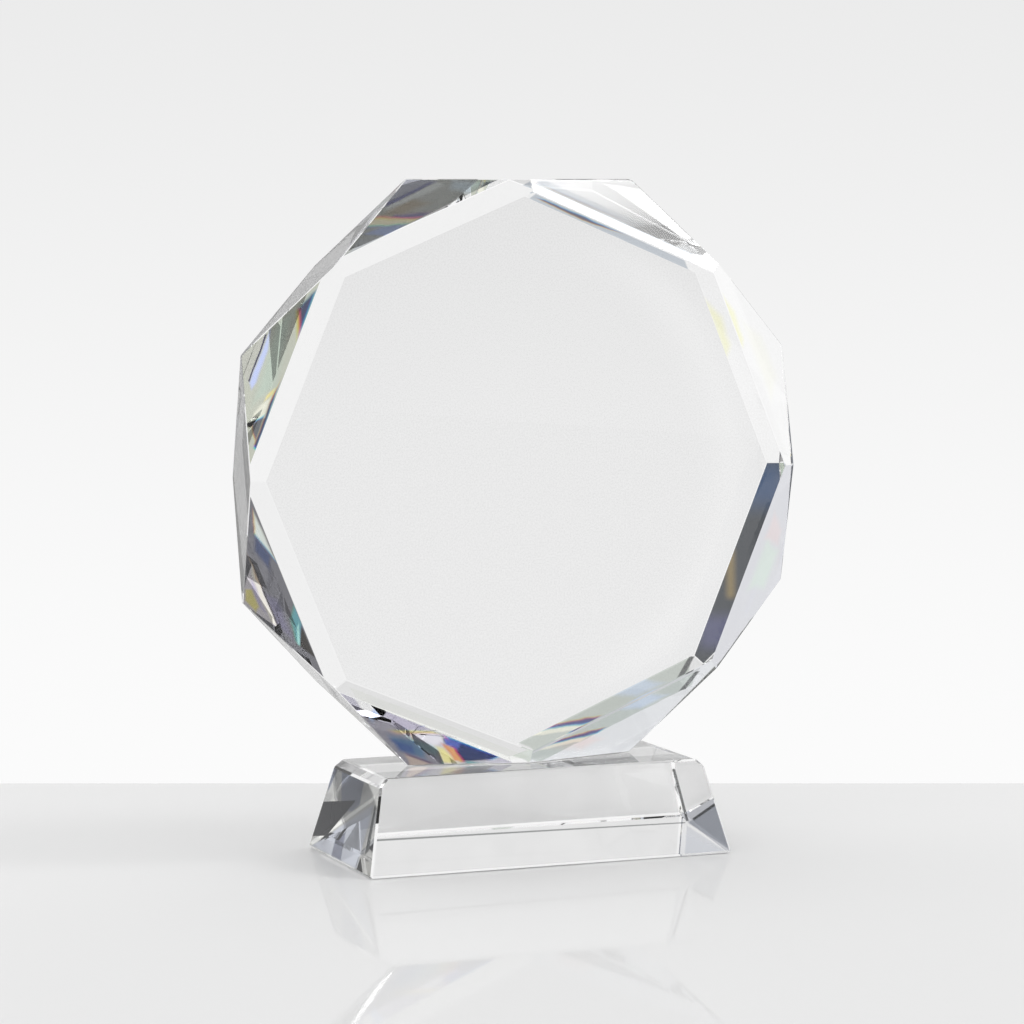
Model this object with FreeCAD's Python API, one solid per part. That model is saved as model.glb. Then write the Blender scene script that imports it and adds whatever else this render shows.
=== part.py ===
import FreeCAD, Part
import math
import os

os.makedirs("parts", exist_ok=True)

# A crystal award. An eight-sided block of optical glass stands on its bottom rim facet,
# bonded to a flared base of the same glass. Sizes are millimetres. +Z is up, +X is to the
# right and +Y is to the back, and the origin is the middle of the base's underside.

# The octagon block.
SIDES = 8
ACROSS_FLATS = 152.4
THICKNESS = 19.05  # front table to back table
BEVEL_ANGLE = 31.5  # degrees that a corner bevel leans away from its table
CORNER_EDGE = 0.5  # the short edge left at each corner, between the front and back bevels

# The film of clear adhesive under the block.
BOND_THICKNESS = 0.1
BOND_INSET = 0.4  # the film stops this far inside the outline of the foot facet

# The base. Its top is as large as the block's foot facet with a ledge left all round.
BASE_HEIGHT = 24.3
END_LEDGE = 11.8
FRONT_LEDGE = 9.7
END_FLARE = 7.1  # how much further out the underside reaches than the top, at each end
FRONT_FLARE = 7.5
RIM_DROP = 2.0  # height of the chamfer that runs round the top
END_RIM = 2.1  # width of that chamfer at each end
FRONT_RIM = 0.9

# Every edge of both blocks is polished to a narrow flat, called the arris. The base is
# handled and slid about, so its arris is the wider one.
BLOCK_ARRIS = 0.35
BASE_ARRIS = 0.8

UP = FreeCAD.Vector(0, 0, 1)
HALF_SIDE_ANGLE = math.pi / SIDES

flat_radius = ACROSS_FLATS / 2
corner_radius = flat_radius / math.cos(HALF_SIDE_ANGLE)
foot_length = 2 * flat_radius * math.tan(HALF_SIDE_ANGLE)

# The rim is deepest at the middle of a side, where two neighbouring bevels meet.
bevel_reach = corner_radius - flat_radius * math.cos(HALF_SIDE_ANGLE)
bevel_slope = math.tan(math.radians(BEVEL_ANGLE))
foot_depth = min(THICKNESS, CORNER_EDGE + 2 * bevel_reach * bevel_slope)

foot_height = BASE_HEIGHT + BOND_THICKNESS
block_centre = FreeCAD.Vector(0, 0, foot_height + flat_radius)

top_length = foot_length + 2 * END_LEDGE
top_depth = foot_depth + 2 * FRONT_LEDGE
bottom_length = top_length + 2 * END_FLARE
bottom_depth = top_depth + 2 * FRONT_FLARE


def keep_behind(solid, point, outward):
    """What is left of a solid after a flat cut through point that faces outward."""
    reach = 2 * solid.BoundBox.DiagonalLength
    low_corner = FreeCAD.Vector(-reach / 2, -reach / 2, 0)
    waste = Part.makeBox(reach, reach, reach, low_corner)
    waste.Placement = FreeCAD.Placement(point, FreeCAD.Rotation(UP, outward))
    return solid.cut(waste).Solids[0]


def outward_normal(face):
    """Unit normal of a flat face, pointing out of its solid."""
    low_u, high_u, low_v, high_v = face.ParameterRange
    return face.normalAt((low_u + high_u) / 2, (low_v + high_v) / 2).normalize()


def ease_edges(solid, width):
    """Polishes a flat of the given width along every edge of a solid with no hollows."""
    eased = solid
    for edge in solid.Edges:
        faces = solid.ancestorsOfType(edge, Part.Face)
        first, second = [outward_normal(face) for face in faces]
        depth = width / 2 * math.tan(first.getAngle(second) / 2)
        outward = (first + second).normalize()
        eased = keep_behind(eased, edge.CenterOfMass - outward * depth, outward)
    return eased


def round_direction(angle, lean=0.0, side=0):
    """A direction square to the rim at angle, leaning to the front (-1) or the back (1)."""
    across = math.cos(lean)
    x = across * math.cos(angle)
    z = across * math.sin(angle)
    return FreeCAD.Vector(x, side * math.sin(lean), z)


def cut_rim(block):
    """Cuts the eight sides, with one of them level at the bottom."""
    for side in range(SIDES):
        outward = round_direction(2 * side * HALF_SIDE_ANGLE)
        block = keep_behind(block, block_centre + outward * flat_radius, outward)
    return block


def cut_bevels(block):
    """Cuts a bevel at each corner, front and back, down to the short corner edge."""
    lean = math.radians(90 - BEVEL_ANGLE)
    for corner in range(SIDES):
        angle = (2 * corner + 1) * HALF_SIDE_ANGLE
        tip = block_centre + round_direction(angle) * corner_radius
        for side in (-1, 1):
            start = tip + FreeCAD.Vector(0, side * CORNER_EDGE / 2, 0)
            block = keep_behind(block, start, round_direction(angle, lean, side))
    return block


def octagon_block():
    """The sharp-edged octagon, cut from a slab as thick as the finished block."""
    width = 2 * corner_radius
    low_corner = block_centre - FreeCAD.Vector(width / 2, THICKNESS / 2, width / 2)
    slab = Part.makeBox(width, THICKNESS, width, low_corner)
    return cut_bevels(cut_rim(slab))


def adhesive_film(block):
    """The film between the block's lowest facet and the base, set in from its outline."""
    foot = min(block.Faces, key=lambda face: face.CenterOfMass.z)
    film = foot.extrude(FreeCAD.Vector(0, 0, -BOND_THICKNESS))
    for edge in foot.OuterWire.Edges:
        from_middle = edge.CenterOfMass - foot.CenterOfMass
        along = edge.tangentAt(edge.FirstParameter)
        outward = along.cross(UP).normalize()
        if outward.dot(from_middle) < 0:
            outward = -outward
        film = keep_behind(film, edge.CenterOfMass - outward * BOND_INSET, outward)
    return film


def cut_base_side(block, direction, half_top, flare, rim):
    """Cuts one flared wall of the base and the chamfer above it."""
    wall_height = BASE_HEIGHT - RIM_DROP
    wall = direction * wall_height + UP * (flare - rim)
    block = keep_behind(block, direction * (half_top + flare), wall.normalize())
    chamfer = direction * RIM_DROP + UP * rim
    top_edge = direction * half_top + UP * BASE_HEIGHT
    return keep_behind(block, top_edge, chamfer.normalize())


def base_block():
    """The sharp-edged base: four flared walls under a chamfered flat top."""
    low_corner = FreeCAD.Vector(-bottom_length / 2, -bottom_depth / 2, 0)
    block = Part.makeBox(bottom_length, bottom_depth, BASE_HEIGHT, low_corner)
    for side in (-1, 1):
        end = FreeCAD.Vector(side, 0, 0)
        front = FreeCAD.Vector(0, side, 0)
        block = cut_base_side(block, end, top_length / 2, END_FLARE, END_RIM)
        block = cut_base_side(block, front, top_depth / 2, FRONT_FLARE, FRONT_RIM)
    return block


octagon = ease_edges(octagon_block(), BLOCK_ARRIS)
pieces = {
    "octagon_crystal": octagon,
    "adhesive_bond": adhesive_film(octagon),
    "crystal_base": ease_edges(base_block(), BASE_ARRIS),
}
for name, shape in pieces.items():
    shape.exportStep("parts/" + name + ".step")
    box = shape.BoundBox
    print(name, "valid" if shape.isValid() else "NOT VALID", len(shape.Faces), "faces")
    print("  x", round(box.XMin, 2), round(box.XMax, 2), "y", round(box.YMin, 2), round(box.YMax, 2))
    print("  z", round(box.ZMin, 2), round(box.ZMax, 2), "cm3", round(shape.Volume / 1000, 2))
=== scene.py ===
import math

import bpy
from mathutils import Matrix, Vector


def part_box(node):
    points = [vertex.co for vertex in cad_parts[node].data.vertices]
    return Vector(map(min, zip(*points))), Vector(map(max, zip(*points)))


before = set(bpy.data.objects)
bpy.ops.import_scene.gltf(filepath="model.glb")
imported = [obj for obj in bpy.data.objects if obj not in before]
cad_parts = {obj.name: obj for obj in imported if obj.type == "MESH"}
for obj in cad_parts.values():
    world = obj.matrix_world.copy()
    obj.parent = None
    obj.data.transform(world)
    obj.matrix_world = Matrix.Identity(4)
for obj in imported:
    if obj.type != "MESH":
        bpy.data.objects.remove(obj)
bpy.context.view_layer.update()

# The camera looks at the award from the left of its face and a little above it, through a long lens, as a
# catalogue picture is taken. It looks in a direction TURN to the right of the face's own axis, and TILT
# downwards.

TURN = math.radians(21.70)
TILT = math.radians(5.16)
DISTANCE = 0.9670
LENS = 129.62
SENSOR = 36.0
AIM = Vector((-0.00205, 0.0, 0.08983))

sight = Vector((math.sin(TURN) * math.cos(TILT), math.cos(TURN) * math.cos(TILT), -math.sin(TILT)))
camera_data = bpy.data.cameras.new("catalogue_lens")
camera_data.lens = LENS
camera_data.sensor_width = SENSOR
camera_data.clip_start = 0.05
camera_data.clip_end = 50.0
camera = bpy.data.objects.new("catalogue_camera", camera_data)
camera.location = AIM - sight * DISTANCE
camera.rotation_euler = sight.to_track_quat("-Z", "Y").to_euler()
bpy.context.scene.collection.objects.link(camera)
bpy.context.scene.camera = camera
bpy.context.scene.view_settings.view_transform = "Standard"


# The light tent is a white surround all the way round, brighter overhead, with one small lamp window high
# on the right. Cards hang in it out of the lens's sight, so that the cut glass has something to show, and
# light may turn inside the blocks many times before it leaves them.

LIGHT_TURNS = 20
SOFTBOX = 9.0
WALL_TONE = 0.968
WALL_FOOT_TONE = 0.82
TENT_MIDDLE_TONE = 0.92

bpy.context.scene.cycles.max_bounces = LIGHT_TURNS
bpy.context.scene.cycles.transmission_bounces = LIGHT_TURNS
bpy.context.scene.cycles.glossy_bounces = LIGHT_TURNS


class Wiring:
    """Adds nodes to one tree and joins them, so that a recipe reads as sums."""

    def __init__(self, tree):
        self.tree = tree

    def node(self, kind, **settings):
        made = self.tree.nodes.new(kind)
        for name, value in settings.items():
            setattr(made, name, value)
        return made

    def feed(self, socket, value):
        if isinstance(value, bpy.types.NodeSocket):
            self.tree.links.new(value, socket)
        else:
            socket.default_value = value

    def sum(self, operation, *terms, clamp=False):
        made = self.node("ShaderNodeMath", operation=operation, use_clamp=clamp)
        for socket, term in zip(made.inputs, terms):
            self.feed(socket, term)
        return made.outputs[0]

    def vector_sum(self, operation, *terms):
        made = self.node("ShaderNodeVectorMath", operation=operation)
        for socket, term in zip(made.inputs, terms):
            self.feed(socket, term)
        return made.outputs[0]

    def split(self, vector):
        made = self.node("ShaderNodeSeparateXYZ")
        self.feed(made.inputs[0], vector)
        return made.outputs

    def noise(self, place, scale, detail=2.0):
        made = self.node("ShaderNodeTexNoise")
        self.feed(made.inputs["Vector"], place)
        self.feed(made.inputs["Scale"], scale)
        self.feed(made.inputs["Detail"], detail)
        return made.outputs["Fac"]

    def ramp(self, value, low, high, start=0.0, end=1.0):
        made = self.node("ShaderNodeMapRange", interpolation_type="SMOOTHSTEP")
        self.feed(made.inputs["Value"], value)
        self.feed(made.inputs["From Min"], low)
        self.feed(made.inputs["From Max"], high)
        self.feed(made.inputs["To Min"], start)
        self.feed(made.inputs["To Max"], end)
        return made.outputs["Result"]

    def blend(self, share, first, second):
        made = self.node("ShaderNodeMix", data_type="RGBA")
        self.feed(made.inputs["Factor"], share)
        self.feed(made.inputs["A"], first)
        self.feed(made.inputs["B"], second)
        return made.outputs["Result"]


def grey(level):
    return (level, level, level, 1.0)


tent = bpy.data.worlds.new("light_tent")
tent.use_nodes = True
bpy.context.scene.world = tent
tent.node_tree.nodes.clear()
w = Wiring(tent.node_tree)

direction = w.node("ShaderNodeTexCoord").outputs["Generated"]
turned = w.node("ShaderNodeVectorRotate", rotation_type="Z_AXIS")
w.feed(turned.inputs["Vector"], direction)
w.feed(turned.inputs["Angle"], TURN)
parts = w.split(turned.outputs["Vector"])
bearing = w.sum("DEGREES", w.sum("ARCTAN2", parts["X"], parts["Y"]))
height = w.sum("DEGREES", w.sum("ARCSINE", parts["Z"]))

wall = w.blend(w.ramp(height, 6.0, -10.0), grey(WALL_FOOT_TONE), grey(WALL_TONE))


def card(colour, centre, size, soft, tone):
    """Hangs one card in the tent. Its middle (bearing and height), its half width and half height, and the
    softness of its edge are in degrees."""
    across = w.sum("ABSOLUTE", w.sum("SUBTRACT", bearing, centre[0]))
    up = w.sum("ABSOLUTE", w.sum("SUBTRACT", height, centre[1]))
    inside = w.sum(
        "MULTIPLY",
        w.ramp(across, size[0] + soft, size[0] - soft),
        w.ramp(up, size[1] + soft, size[1] - soft),
    )
    return w.blend(inside, colour, (*tone, 1.0))


hidden = w.blend(w.ramp(height, -10.0, 6.0), grey(WALL_TONE), grey(TENT_MIDDLE_TONE))
hidden = w.blend(w.ramp(height, 8.0, 42.0), hidden, grey(1.0))
hidden = card(hidden, (0.0, 11.0), (10.0, 4.0), 3.0, (0.78, 0.78, 0.78))
hidden = card(hidden, (-50.0, 6.0), (9.0, 8.0), 3.0, (0.52, 0.53, 0.56))
hidden = card(hidden, (-36.0, 19.0), (5.0, 5.0), 3.0, (0.42, 0.43, 0.46))
hidden = card(hidden, (150.0, 0.0), (10.0, 14.0), 4.0, (0.58, 0.59, 0.62))
hidden = card(hidden, (-12.5, 0.6), (1.6, 3.2), 0.3, (0.075, 0.082, 0.092))
hidden = card(hidden, (-12.2, 1.6), (0.35, 0.35), 0.25, (0.07, 0.11, 0.20))
hidden = card(hidden, (-12.85, -0.7), (0.32, 0.25), 0.15, (0.12, 0.125, 0.21))
hidden = card(hidden, (-12.69, 0.2), (0.06, 0.38), 0.07, (0.27, 0.21, 0.11))
hidden = card(hidden, (97.0, 40.0), (7.0, 6.5), 2.0, (SOFTBOX, SOFTBOX, SOFTBOX))

seen = w.node("ShaderNodeLightPath").outputs["Is Camera Ray"]
background = w.node("ShaderNodeBackground")
w.feed(background.inputs["Color"], w.blend(seen, hidden, wall))
w.feed(background.inputs["Strength"], 1.0)
output = w.node("ShaderNodeOutputWorld")
w.feed(output.inputs["Surface"], background.outputs["Background"])


# The table is one thick sheet of white acrylic, sawn to size and polished, with its edges rolled over. It
# stands square to the camera, and the award stands near its far edge.

TABLE_BEHIND = 0.113
TABLE_AHEAD = 1.60
TABLE_HALF_WIDTH = 1.20
TABLE_THICK = 0.030
TABLE_ROLL = 0.004
TABLE_GAP = 0.0002
TABLE_GLOSS = 0.14

table_mesh = bpy.data.meshes.new("table_sheet")
table_corners = [
    (side * TABLE_HALF_WIDTH, depth, level)
    for level in (-TABLE_THICK - TABLE_GAP, -TABLE_GAP)
    for side, depth in ((-1, -TABLE_AHEAD), (1, -TABLE_AHEAD), (1, TABLE_BEHIND), (-1, TABLE_BEHIND))
]
table_sides = [(3, 2, 1, 0), (4, 5, 6, 7), (0, 1, 5, 4), (1, 2, 6, 5), (2, 3, 7, 6), (3, 0, 4, 7)]
table_mesh.from_pydata(table_corners, [], table_sides)
table = bpy.data.objects.new("table", table_mesh)
table.rotation_euler = (0.0, 0.0, -TURN)
bpy.context.scene.collection.objects.link(table)
roll = table.modifiers.new("rolled_edge", "BEVEL")
roll.width = TABLE_ROLL
roll.segments = 4

acrylic = bpy.data.materials.new("white_acrylic")
acrylic.use_nodes = True
acrylic.node_tree.nodes.clear()
w = Wiring(acrylic.node_tree)
place = w.node("ShaderNodeTexCoord").outputs["Object"]
mottle = w.noise(place, 9.0, 3.0)
body = w.node("ShaderNodeBsdfDiffuse")
# Painted shade: the sheet is painted darker towards the camera, where less of the tent's light falls, over
# its own faint mottle.
near = w.ramp(w.split(place)["Y"], 0.05, -0.45)
painted_shade_toward_camera = w.blend(near, grey(0.84), grey(0.77))
w.feed(body.inputs["Color"], w.blend(w.sum("MULTIPLY", mottle, 0.5), painted_shade_toward_camera, grey(0.80)))
gloss = w.node("ShaderNodeBsdfGlossy")
w.feed(gloss.inputs["Roughness"], 0.03)
w.feed(gloss.inputs["Color"], grey(0.95))
polished = w.node("ShaderNodeMixShader")
w.feed(polished.inputs[0], TABLE_GLOSS)
w.feed(polished.inputs[1], body.outputs[0])
w.feed(polished.inputs[2], gloss.outputs[0])
output = w.node("ShaderNodeOutputMaterial")
w.feed(output.inputs["Surface"], polished.outputs[0])
table.data.materials.append(acrylic)


# The octagon is one block of clear optical crystal, sawn, bevelled and polished, and stands on its lowest
# rim facet. Its front table has a very fine grain. The soft streaks of split light on its bevels, their
# colour fringes and dark patches, are painted light and shade in the glass's colour, as are the slightly
# darker tables, their darker top, a lighter reflection arc on them and the dark rim facets.

OPTICAL_IOR = 1.52
CLEAR_TONE = 0.88
DISPLAY_GAMMA = 2.2
MILLIMETRES = 1000.0
SECTOR = math.radians(45.0)
TABLE_FACING = 0.98
BEVEL_FACING = 0.5
RIM_FACING = 0.3
# The tables are painted a little darker, a painted shade.
TABLE_PAINTED_SHADE = -0.14
# The rim facets are painted dark, a painted shade.
RIM_PAINTED_SHADE = -0.85
GRAIN_SCALE = 2200.0
DRIFT_SCALE = 0.22
VECTOR_FROM_MIN = 7  # numbers of two sockets that share their names with others
VECTOR_FROM_MAX = 8


def ink(red, green, blue):
    """The tint that makes clear white light leave the glass as this colour, given as 0 to 255."""
    linear = [(level / 255.0) ** DISPLAY_GAMMA / CLEAR_TONE for level in (red, green, blue)]
    return tuple(min(level, 1.0) ** 2 for level in linear)


class Facet:
    """One polished facet, measured in millimetres across and up, on which shades are laid in turn."""

    def __init__(self, wiring, across, up, share):
        self.wiring = wiring
        self.across = across
        self.up = up
        self.share = share

    def depth(self, corners, fan=(0.0, 0.0)):
        """How far inside the corners a point lies, for red, green and blue. Red is moved along by fan and
        blue is moved back by it."""
        points = [Vector(corner) for corner in corners]
        middle = sum(points, Vector((0.0, 0.0))) / len(points)
        nearest = None
        for first, second in zip(points, points[1:] + points[:1]):
            run = (second - first).normalized()
            inward = Vector((-run.y, run.x))
            if inward.dot(middle - first) < 0.0:
                inward = -inward
            start = inward.dot(first)
            spread = inward.dot(Vector(fan))
            offsets = (-start - spread, -start, -start + spread)
            part = self.wiring.vector_sum("MULTIPLY_ADD", self.up, (inward.y,) * 3, offsets)
            part = self.wiring.vector_sum("MULTIPLY_ADD", self.across, (inward.x,) * 3, part)
            nearest = part if nearest is None else self.wiring.vector_sum("MINIMUM", nearest, part)
        return nearest

    def lay(self, paint, tone, corners, soft=0.3, fan=(0.0, 0.0)):
        """Lays one shade between the corners, fading over soft at its edges."""
        inside = self.depth(corners, fan)
        edge = self.wiring.node(
            "ShaderNodeMapRange",
            data_type="FLOAT_VECTOR",
            interpolation_type="SMOOTHSTEP",
        )
        self.wiring.feed(edge.inputs["Vector"], inside)
        self.wiring.feed(edge.inputs[VECTOR_FROM_MIN], (-soft,) * 3)
        self.wiring.feed(edge.inputs[VECTOR_FROM_MAX], (soft,) * 3)
        share = self.wiring.node("ShaderNodeVectorMath", operation="SCALE")
        self.wiring.feed(share.inputs[0], edge.outputs["Vector"])
        self.wiring.feed(share.inputs["Scale"], self.share)
        return self.mixed(paint, tone, share.outputs[0])

    def flood(self, paint, tone):
        """Lays one shade over the whole facet."""
        share = self.wiring.node("ShaderNodeCombineXYZ")
        for socket in share.inputs:
            self.wiring.feed(socket, self.share)
        return self.mixed(paint, tone, share.outputs[0])

    def mixed(self, paint, tone, share):
        """The paint so far with the share of it that this shade covers."""
        made = self.wiring.node("ShaderNodeMix", data_type="VECTOR", factor_mode="NON_UNIFORM")
        sockets = {socket.identifier: socket for socket in made.inputs}
        self.wiring.feed(sockets["Factor_Vector"], share)
        self.wiring.feed(sockets["A_Vector"], paint)
        self.wiring.feed(sockets["B_Vector"], tone)
        return [socket for socket in made.outputs if socket.identifier == "Result_Vector"][0]


def threefold(wiring, value):
    """The same measure for red, green and blue light."""
    made = wiring.node("ShaderNodeCombineXYZ")
    for socket in made.inputs:
        wiring.feed(socket, value)
    return made.outputs[0]


def glass(name):
    """A new clear crystal, with its wiring and its shader."""
    made = bpy.data.materials.new(name)
    made.use_nodes = True
    shader = made.node_tree.nodes["Principled BSDF"]
    shader.inputs["IOR"].default_value = OPTICAL_IOR
    shader.inputs["Transmission Weight"].default_value = 1.0
    shader.inputs["Roughness"].default_value = 0.0
    return made, Wiring(made.node_tree), shader


def dress(name, material):
    """Gives one piece of the frame a single material."""
    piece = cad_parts[name]
    piece.data.materials.clear()
    piece.data.materials.append(material)


crystal, w, shader = glass("optical_crystal")
low, high = [Vector(corner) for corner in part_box("octagon_crystal")]
surface = w.node("ShaderNodeNewGeometry")
from_centre = w.vector_sum("SUBTRACT", surface.outputs["Position"], (low + high) / 2)
from_centre = w.vector_sum("MULTIPLY", from_centre, (MILLIMETRES,) * 3)
spot = w.split(from_centre)
facing = w.split(surface.outputs["True Normal"])
lean = w.sum("ABSOLUTE", facing["Y"])
is_back = w.sum("GREATER_THAN", spot["Y"], 0.0)

angle = w.sum("ARCTAN2", spot["Z"], spot["X"])
sector = w.sum("FLOOR", w.sum("DIVIDE", angle, SECTOR))
from_middle = w.sum("SUBTRACT", angle, w.sum("MULTIPLY", w.sum("ADD", sector, 0.5), SECTOR))
squared_x = w.sum("POWER", spot["X"], 2.0)
squared_z = w.sum("POWER", spot["Z"], 2.0)
radius = w.sum("SQRT", w.sum("ADD", squared_x, squared_z))
along = w.sum("MULTIPLY", radius, w.sum("SINE", from_middle))
reach = w.sum("MULTIPLY", radius, w.sum("COSINE", from_middle))

drift = w.sum("SUBTRACT", w.noise(from_centre, DRIFT_SCALE, 1.0), 0.5)
loose_along = threefold(w, w.sum("MULTIPLY_ADD", drift, 1.6, along))
loose_reach = threefold(w, w.sum("MULTIPLY_ADD", drift, -0.5, reach))

bevels = w.sum("MULTIPLY", w.sum("GREATER_THAN", lean, BEVEL_FACING), w.sum("LESS_THAN", lean, TABLE_FACING))
back_bevels = w.sum("MULTIPLY", bevels, is_back)
front_bevels = w.sum("SUBTRACT", bevels, back_bevels)
tables = w.sum("GREATER_THAN", lean, TABLE_FACING)
rim = w.sum("LESS_THAN", lean, RIM_FACING)


def bevel(number, side, edge=None):
    """One bevel by its sector number, counted leftwards from the right. Where edge is given, only the part
    of the bevel outside that line takes shade."""
    share = w.sum("MULTIPLY", side, w.sum("COMPARE", sector, float(number), 0.1))
    if edge:
        (first_along, first_reach), (second_along, second_reach) = edge
        slope = (second_reach - first_reach) / (second_along - first_along)
        line = w.sum("MULTIPLY_ADD", along, slope, first_reach - slope * first_along)
        share = w.sum("MULTIPLY", share, w.ramp(w.sum("SUBTRACT", reach, line), -0.08, 0.08))
    return Facet(w, loose_along, loose_reach, share)


grain = w.noise(surface.outputs["Position"], GRAIN_SCALE, 1.0)
is_fore = w.sum("SUBTRACT", 1.0, is_back)
# The front table takes its fine grain, and both tables are painted a little darker (painted shade).
grain_and_painted_light = w.sum("MULTIPLY_ADD", w.ramp(grain, 0.3, 0.7, -0.04, 0.04), is_fore, TABLE_PAINTED_SHADE)
# Painted shade: the tables are painted darker towards the top.
grain_and_painted_light = w.sum("ADD", grain_and_painted_light, w.ramp(spot["Z"], 10.0, 75.0, 0.0, -0.035))
# Painted reflection: a soft lighter arc is painted on the right of the tables.
arc = w.sum("MULTIPLY", w.ramp(radius, 50.0, 61.0), w.ramp(radius, 68.0, 61.0, 0.0, 0.045))
grain_and_painted_light = w.sum("MULTIPLY_ADD", arc, w.ramp(spot["X"], 5.0, 45.0), grain_and_painted_light)
level = w.sum("MULTIPLY_ADD", tables, grain_and_painted_light, 1.0)
# Painted shade: the rim facets are painted dark.
level = w.sum("MULTIPLY_ADD", rim, RIM_PAINTED_SHADE, level)
paint = threefold(w, level)

# Painted light and shade on the upper left bevel: a greenish body, dark navy patches of painted shade, and
# pale, gold and blue streaks of split light with coloured fringes.
upper_left = bevel(3, front_bevels, ((-21.5, 72.0), (21.0, 71.9)))
paint = upper_left.flood(paint, ink(188, 191, 178))
paint = upper_left.lay(
    paint, ink(72, 76, 98),
    [(-22, 72), (-9.5, 72), (-16.5, 74.6)], 0.5, (-0.7, -0.25),
)
paint = upper_left.lay(paint, ink(184, 197, 184), [(-15, 75.2), (5, 73), (10, 76), (-10, 77.5)], 1.2)
paint = upper_left.lay(
    paint, ink(78, 80, 100),
    [(3.5, 72.2), (21, 71.8), (20.5, 72.6), (9, 72.9)], 0.25, (0.5, -0.1),
)
paint = upper_left.lay(paint, ink(224, 214, 150), [(5, 72.8), (6.5, 72.7), (9, 73.9), (7.5, 73.9)], 0.3)
paint = upper_left.lay(paint, ink(228, 228, 212), [(7.5, 72.9), (12.5, 72.8), (15, 75), (12, 75.2)], 0.4)
paint = upper_left.lay(
    paint, ink(105, 108, 112),
    [(12, 72.8), (19, 72.6), (17.5, 73.8), (15, 75)], 0.3, (-0.3, 0.0),
)
paint = upper_left.lay(
    paint, ink(190, 202, 240),
    [(-8, 78.3), (-4, 77.4), (5, 77.2), (7, 77.6), (5.5, 78.5)], 0.4,
)
paint = upper_left.lay(paint, ink(186, 187, 178), [(-7, 79), (6, 78.9), (0, 82.6)], 0.12)
paint = upper_left.lay(
    paint, ink(62, 60, 92),
    [(-7.2, 78.65), (5.5, 78.6), (5.3, 79.0), (-6.8, 79.1)], 0.14,
)

# Painted light and shade on the top left bevel: a grey body, dark patches of painted shade, and pale, lilac
# and blue streaks of split light.
top_left = bevel(2, front_bevels, ((-20.5, 73.4), (23.5, 71.9)))
paint = top_left.flood(paint, ink(168, 171, 167))
paint = top_left.lay(paint, ink(95, 98, 108), [(-21, 73.2), (-15.5, 73.1), (-17.5, 74.5)], 0.3)
paint = top_left.lay(paint, ink(188, 200, 206), [(-17, 74.3), (-13, 73.4), (-9, 76), (-11, 77.5)], 1.0)
paint = top_left.lay(paint, ink(164, 156, 140), [(-2, 75), (6, 75), (14, 76.7), (2, 78)], 1.0)
paint = top_left.lay(
    paint, ink(126, 126, 158),
    [(-1.5, 72.7), (2.5, 72.5), (9, 75.3), (7.5, 75.9)], 0.5, (0.4, 0.0),
)
paint = top_left.lay(
    paint, ink(234, 228, 200),
    [(2.5, 72.5), (5.5, 72.3), (16, 76), (12.5, 77)], 0.4, (-0.5, 0.2),
)
paint = top_left.lay(paint, ink(162, 176, 210), [(6, 72.2), (13, 72.0), (17, 74.5), (11, 74.2)], 0.5)
paint = top_left.lay(paint, ink(178, 182, 184), [(13, 72.1), (23.5, 71.7), (19, 74)], 0.4)
paint = top_left.lay(
    paint, ink(198, 202, 200),
    [(-8, 77.6), (-3, 77.3), (9, 77.7), (8, 78.3), (-7, 78.9)], 0.5,
)
paint = top_left.lay(paint, ink(162, 164, 174), [(-7.5, 78.9), (9.5, 78.2), (0, 82.7)], 0.12)
paint = top_left.lay(paint, ink(112, 114, 148), [(-6, 78.9), (9, 78.3), (8, 79.2), (-5, 79.5)], 0.35)

# Painted light and shade on the lower left bevel: a dark grey body of painted shade, with pale, teal, gold
# and lilac streaks of split light.
lower_left = bevel(-4, front_bevels, ((-21.0, 71.7), (20.5, 71.8)))
paint = lower_left.flood(paint, ink(114, 114, 119))
paint = lower_left.lay(
    paint, ink(206, 213, 208),
    [(-21, 72.4), (-9, 72.1), (-16, 74)], 0.35, (-0.4, 0.0),
)
paint = lower_left.lay(paint, ink(76, 84, 110), [(-16, 74.1), (-9.5, 72.5), (-6, 74), (-12, 75.5)], 0.6)
paint = lower_left.lay(
    paint, ink(98, 150, 158),
    [(5, 71.6), (10, 71.6), (15.5, 74), (14, 74.5), (8, 73.6)], 0.5, (0.0, 0.2),
)
paint = lower_left.lay(paint, ink(118, 116, 134), [(2, 75), (13, 75), (8, 77.2), (0, 77)], 0.8)
paint = lower_left.lay(
    paint, ink(154, 204, 200),
    [(10, 72.4), (15.8, 73.9), (15.2, 74.3), (11, 73.2)], 0.2,
)
paint = lower_left.lay(paint, ink(68, 66, 64), [(10.5, 72.0), (20, 71.8), (16, 74)], 0.2)
paint = lower_left.lay(paint, ink(85, 82, 84), [(-10, 76.9), (9.7, 76.9), (9, 77.3), (-9, 77.3)], 0.15)
paint = lower_left.lay(paint, ink(214, 209, 214), [(-9.2, 77.3), (9.2, 77.2), (0, 82.6)], 0.14)
paint = lower_left.lay(
    paint, ink(238, 234, 224),
    [(-9, 77.4), (8.8, 77.3), (7, 78.1), (-6.5, 78.2)], 0.15,
)
paint = lower_left.lay(paint, ink(224, 200, 168), [(-9, 77.3), (-3, 77.3), (-5, 77.8)], 0.25)
paint = lower_left.lay(paint, ink(194, 188, 214), [(-5, 78.6), (4.5, 78.5), (2, 79.4), (-2, 79.5)], 0.3)
paint = lower_left.lay(
    paint, ink(232, 222, 146),
    [(-2.5, 79.3), (2.5, 79.3), (3.5, 80.4), (0, 81.6), (-2.8, 80.6)], 0.4,
)

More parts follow.
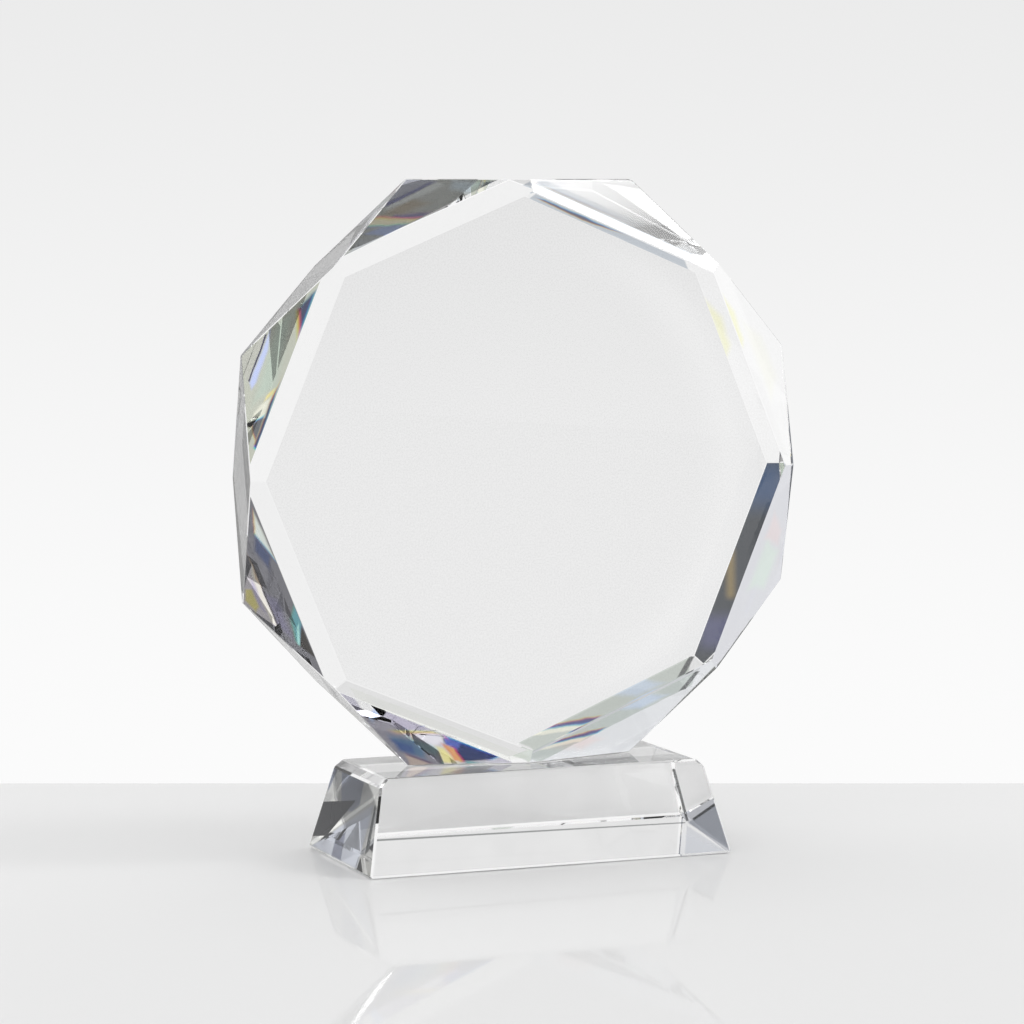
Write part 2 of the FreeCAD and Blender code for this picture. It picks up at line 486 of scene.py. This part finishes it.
# Painted light and shade on the bottom left bevel: a pale band, a lilac body, and blue, gold and navy
# patches with coloured fringes.
foot_band = bevel(-3, front_bevels)
paint = foot_band.lay(paint, ink(236, 237, 234), [(-26, 68.7), (28, 69), (23, 72), (-22, 71.3)], 0.15)
foot_left = bevel(-3, front_bevels, ((-22.0, 71.0), (22.5, 71.9)))
paint = foot_left.flood(paint, ink(188, 186, 198))
paint = foot_left.lay(paint, ink(252, 250, 242), [(-23, 71), (-17, 71), (-16, 73.4), (-18.5, 73.6)], 0.3)
paint = foot_left.lay(
    paint, ink(196, 212, 242),
    [(-17, 70.8), (-14.5, 70.8), (-15, 75), (-16.5, 74.4)], 0.5,
)
paint = foot_left.lay(paint, ink(178, 174, 191), [(-14, 71.2), (0, 71.2), (-8, 75)], 0.6)
paint = foot_left.lay(paint, ink(216, 214, 222), [(-1, 72), (5, 71.8), (4, 75), (-4, 75.2)], 0.8)
paint = foot_left.lay(
    paint, ink(228, 208, 158),
    [(-10, 75.4), (0.5, 71.8), (2.5, 71.8), (-7.5, 75.6)], 0.35, (0.0, 0.15),
)
paint = foot_left.lay(paint, ink(176, 206, 206), [(-5, 75.4), (5, 75.2), (6, 77), (1, 77.5)], 0.7)
paint = foot_left.lay(
    paint, ink(126, 160, 194),
    [(-9, 76.6), (-3, 75.7), (1, 77), (4, 79.3), (-4, 79.4), (-7, 78)], 0.9,
)
paint = foot_left.lay(paint, ink(102, 128, 186), [(-8, 77.4), (-2, 77), (0, 79.2), (-4.5, 79.4)], 0.7)
paint = foot_left.lay(paint, ink(222, 214, 150), [(4, 75), (6, 74.8), (12, 77.2), (8.5, 78.4)], 0.6)
paint = foot_left.lay(
    paint, ink(60, 68, 104),
    [(4, 71.8), (21, 71.5), (19, 73.5), (13, 76.5), (9, 75)], 0.5, (0.6, -0.3),
)
paint = foot_left.lay(paint, ink(94, 106, 176), [(3.5, 72.1), (9, 72.0), (9, 73.8), (6, 74)], 0.6)
paint = foot_left.lay(
    paint, ink(208, 148, 106),
    [(4.5, 73.9), (6.5, 73.8), (12.5, 76.3), (10.5, 76.9)], 0.4,
)
paint = foot_left.lay(paint, ink(108, 152, 158), [(13.5, 75.8), (18.5, 74.6), (14, 76.6)], 0.3)
paint = foot_left.lay(paint, ink(238, 218, 208), [(-2.5, 79.8), (5.5, 79.7), (1, 82.6)], 0.3)
paint = foot_left.lay(paint, ink(150, 130, 162), [(-3, 79.5), (6, 79.3), (5, 79.9), (-2, 80)], 0.3)

# Painted light on the right-hand bevels: they are painted near white, with thin dark lines of painted shade.
upper_right = bevel(0, front_bevels)
paint = upper_right.flood(paint, ink(246, 247, 241))
paint = upper_right.lay(paint, ink(250, 246, 235), [(-10, 71), (12, 71), (6, 76), (-6, 76)], 1.6)
paint = upper_right.lay(paint, ink(108, 112, 120), [(-29.4, 70.9), (-28.4, 69.6), (-8, 79.2)], 0.15)
lower_right = bevel(-1, front_bevels)
paint = lower_right.flood(paint, ink(215, 216, 221))
paint = lower_right.lay(paint, ink(214, 224, 219), [(-6, 71), (8, 71), (6, 77), (-4, 77)], 1.6)
paint = lower_right.lay(paint, ink(224, 214, 216), [(8, 70), (15, 70), (12, 75), (8, 76)], 1.2)
paint = lower_right.lay(paint, ink(92, 95, 104), [(8, 79.2), (28.4, 69.6), (29.4, 70.9)], 0.15)
paint = lower_right.lay(paint, ink(122, 124, 122), [(-29.4, 70.9), (-28.4, 69.8), (-4, 80.9)], 0.15)
foot_right = bevel(-2, front_bevels)
paint = foot_right.flood(paint, ink(218, 220, 223))
paint = foot_right.lay(paint, ink(222, 212, 212), [(-22, 69), (-12, 69), (-8, 74), (-14, 74)], 1.4)
paint = foot_right.lay(paint, ink(118, 120, 118), [(4, 80.9), (28.4, 69.4), (29.4, 70.9)], 0.15)

# Painted light and shade on the back bevels, in the bands seen through the front table: grey, dark and pale
# streaks.
far_top = bevel(1, back_bevels)
paint = far_top.lay(paint, ink(190, 196, 203), [(-26, 67), (24, 67), (22, 70), (-22, 70)], 0.3)
paint = far_top.lay(
    paint, ink(110, 112, 122),
    [(-4, 68.6), (8, 67.6), (22, 68), (20, 68.4)], 0.2, (0.0, 0.1),
)
far_upper = bevel(0, back_bevels)
paint = far_upper.lay(paint, ink(247, 240, 210), [(3, 67), (20, 67), (14, 69.5), (6, 69)], 1.0)
far_foot = bevel(-2, back_bevels)
paint = far_foot.lay(paint, ink(202, 208, 202), [(-27, 67), (27, 67), (24, 71), (-24, 71)], 0.3)
paint = far_foot.lay(paint, ink(250, 244, 226), [(-23, 67), (-20, 67), (-8, 70.6), (-11, 71)], 0.3)
paint = far_foot.lay(
    paint, ink(104, 106, 144),
    [(-19, 67), (-15.5, 67), (-3, 70.5), (-6, 71)], 0.35, (0.0, 0.2),
)
paint = far_foot.lay(paint, ink(206, 218, 232), [(3, 67), (12, 67), (16, 70), (8, 70)], 0.9)
paint = far_foot.lay(paint, ink(108, 110, 110), [(20, 70.8), (26.5, 67), (28, 67.6), (22, 71.2)], 0.2)
w.feed(shader.inputs["Base Color"], paint)
dress("octagon_crystal", crystal)


# The bond is a film of clear adhesive between the block and its base, spread thin and cured under light. It
# lets the two read as one piece of glass, and has faint flow marks.

FLOW_SCALE = 260.0

bonding, w, shader = glass("clear_adhesive")
flow = w.noise(w.node("ShaderNodeTexCoord").outputs["Object"], FLOW_SCALE)
w.feed(shader.inputs["Base Color"], w.blend(flow, grey(0.94), grey(1.0)))
dress("adhesive_bond", bonding)


# The base is a second block of the same crystal, flared to a wider foot and chamfered round its top. It is
# ground and polished on all its walls and stands on the table by its own weight. Its ends show the walls
# behind them folded over; that image, the dark top ledges and the marks on the front wall are painted light
# and shade in the glass's colour.

WALL_FACING = 0.9
LEDGE_STARTS = -6.5
LEDGE_CLEAR = -8.5
HIGH_UP = 20.0
SEED_SCALE = 120.0

base_glass, w, shader = glass("base_crystal")
surface = w.node("ShaderNodeNewGeometry")
spot = w.split(w.vector_sum("MULTIPLY", surface.outputs["Position"], (MILLIMETRES,) * 3))
facing = w.split(surface.outputs["True Normal"])
across_x = threefold(w, spot["X"])
across_y = threefold(w, spot["Y"])
up_z = threefold(w, spot["Z"])
seeds = w.noise(surface.outputs["Position"], SEED_SCALE)
paint = threefold(w, w.ramp(seeds, 0.3, 0.7, 0.96, 1.0))

# Painted shade: the top ledges in front of the block are painted dark, with a darker streak.
ledge = w.ramp(spot["Y"], LEDGE_STARTS, LEDGE_CLEAR)
is_top = w.sum("MULTIPLY", w.sum("GREATER_THAN", w.sum("ABSOLUTE", facing["Z"]), WALL_FACING), ledge)
is_high = w.sum("GREATER_THAN", spot["Z"], HIGH_UP)
ledges = Facet(w, across_x, across_y, w.sum("MULTIPLY", is_top, is_high))
paint = ledges.flood(paint, (0.46, 0.47, 0.47))
paint = ledges.lay(paint, (0.32, 0.33, 0.33), [(-2, -13), (30, -7.5), (31, -9.5), (4, -16)], 1.2)

# Painted light and shade on the left end: the walls behind it, folded over, as grey, dark blue and white
# patches.
is_end = w.sum("GREATER_THAN", w.sum("ABSOLUTE", facing["X"]), WALL_FACING)
is_left = w.sum("LESS_THAN", spot["X"], 0.0)
left_end = Facet(w, across_y, up_z, w.sum("MULTIPLY", is_end, is_left))
paint = left_end.flood(paint, ink(184, 184, 181))
paint = left_end.lay(
    paint, ink(126, 131, 144),
    [(12, 23), (-6, 23), (-6.5, 16), (-2, 13.5), (6, 12.5), (9.5, 18)], 0.5,
)
paint = left_end.lay(paint, ink(110, 116, 132), [(20, 23), (14, 23), (19, 15)], 0.4)
paint = left_end.lay(paint, ink(222, 222, 212), [(13.5, 14), (12, 14), (9.8, 8.5), (12.5, 8.3)], 0.3)
paint = left_end.lay(paint, ink(186, 190, 199), [(22, 0.8), (-13.5, 0.8), (-16, 17.5)], 0.2)
paint = left_end.lay(paint, ink(126, 130, 147), [(6.5, 0.8), (-1, 0.8), (-0.5, 8), (6, 5)], 0.3)
paint = left_end.lay(
    paint, ink(240, 241, 236),
    [(25, 1.0), (22, 1.0), (-15.5, 18.5), (-15.8, 19.8)], 0.25,
)
paint = left_end.lay(paint, ink(82, 84, 82), [(-17, 18), (-18.3, 17), (-19.5, 6.5), (-17, 4.5)], 0.2)

# Painted light and shade on the front wall: grey triangles near its right end, and thin dark lines.
is_long = w.sum("GREATER_THAN", w.sum("ABSOLUTE", facing["Y"]), WALL_FACING)
is_front = w.sum("LESS_THAN", spot["Y"], 0.0)
front_wall = Facet(w, across_x, up_z, w.sum("MULTIPLY", is_long, is_front))
paint = front_wall.lay(paint, ink(186, 189, 194), [(38.7, 8.4), (47.8, 12.6), (50.6, 0.3)], 0.2)
paint = front_wall.lay(paint, ink(216, 218, 222), [(38.4, 7.6), (49.3, 0.2), (36.8, 0.2)], 0.2)
paint = front_wall.lay(
    paint, ink(120, 122, 122),
    [(36.0, 22.2), (36.9, 22.2), (39.1, 8.8), (38.3, 8.8)], 0.15,
)
paint = front_wall.lay(
    paint, ink(90, 92, 92),
    [(40.2, 9.4), (40.6, 8.8), (47.4, 12.2), (47.0, 12.9)], 0.15,
)
paint = front_wall.lay(
    paint, ink(150, 152, 152),
    [(-48.5, 9.7), (-48.5, 9.2), (38, 8.3), (38, 8.6)], 0.12,
)
w.feed(shader.inputs["Base Color"], paint)
dress("crystal_base", base_glass)
